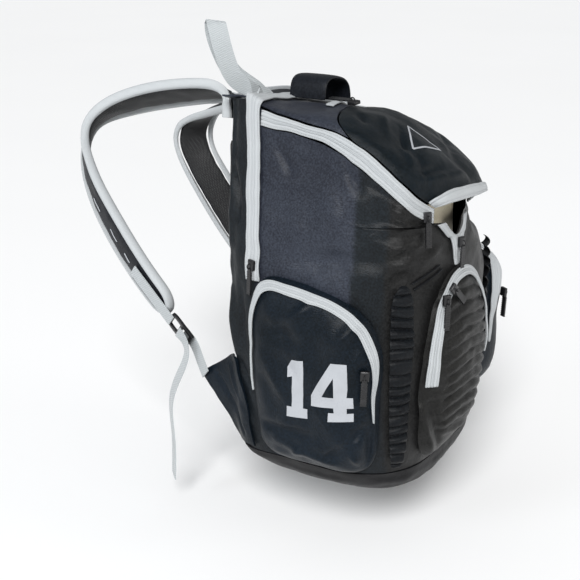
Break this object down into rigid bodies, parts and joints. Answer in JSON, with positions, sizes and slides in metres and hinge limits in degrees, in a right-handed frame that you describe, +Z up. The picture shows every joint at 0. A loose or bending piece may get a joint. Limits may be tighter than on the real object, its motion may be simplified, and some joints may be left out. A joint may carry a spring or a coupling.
{
  "type": "athletic backpack",
  "caption": "Athletic backpack with a domed lid over a zipped mouth, outer pockets, padded shoulder straps, a grab handle and a hang loop, worn on the back to carry gear.",
  "frame": {"origin": "between the undersides of the shoulder strap crests, where the bag hangs on the shoulders", "axes": "+Z up, +X toward the wearer's right, +Y toward the wearer, so the bag's outer face is at -Y"},
  "size_m": [0.4027, 0.5415, 0.605],
  "materials": {
    "nylon": "black coated nylon with a soft sheen",
    "quilt": "black quilted nylon",
    "tape": "light gray woven zipper tape and binding",
    "webbing": "light gray woven webbing",
    "mesh_pad": "black spacer mesh over foam",
    "vinyl": "pale gray printed film",
    "plastic": "black moulded plastic"
  },
  "bodies": {
    "root": {"main_shell": "nylon", "base_boot": "nylon", "back_panel": "mesh_pad", "top_panel": "nylon", "lid": "nylon", "main_zipper_left": "tape", "main_zipper_right": "tape", "lid_tape": "tape", "mouth_zipper_left": "tape", "mouth_zipper_right": "tape", "back_zipper": "tape", "top_pocket_zipper": "tape", "side_pocket_left": "nylon", "side_pocket_right": "nylon", "side_pocket_zipper_left": "tape", "side_pocket_zipper_right": "tape", "front_pocket": "quilt", "front_pocket_zipper": "tape", "corner_gather_left": "nylon", "corner_gather_right": "nylon", "wing_left": "nylon", "wing_right": "nylon", "strap_left": "mesh_pad", "strap_right": "mesh_pad", "strap_binding_left": "tape", "strap_binding_right": "tape", "strap_webbing_left": "webbing", "strap_webbing_right": "webbing", "buckle_left": "plastic", "buckle_right": "plastic", "lower_webbing_left": "webbing", "lower_webbing_right": "webbing", "strap_tail_left": "webbing", "strap_tail_right": "webbing", "grab_handle": "nylon", "hang_loop": "webbing", "slider_back_left": "plastic", "slider_back_right": "plastic", "slider_main": "plastic", "slider_mouth": "plastic", "slider_top_pocket": "plastic", "slider_side_pocket_left": "plastic", "slider_side_pocket_right": "plastic", "slider_front_left": "plastic", "slider_front_right": "plastic", "numeral_1": "vinyl", "numeral_4": "vinyl"}
  },
  "joints": []
}
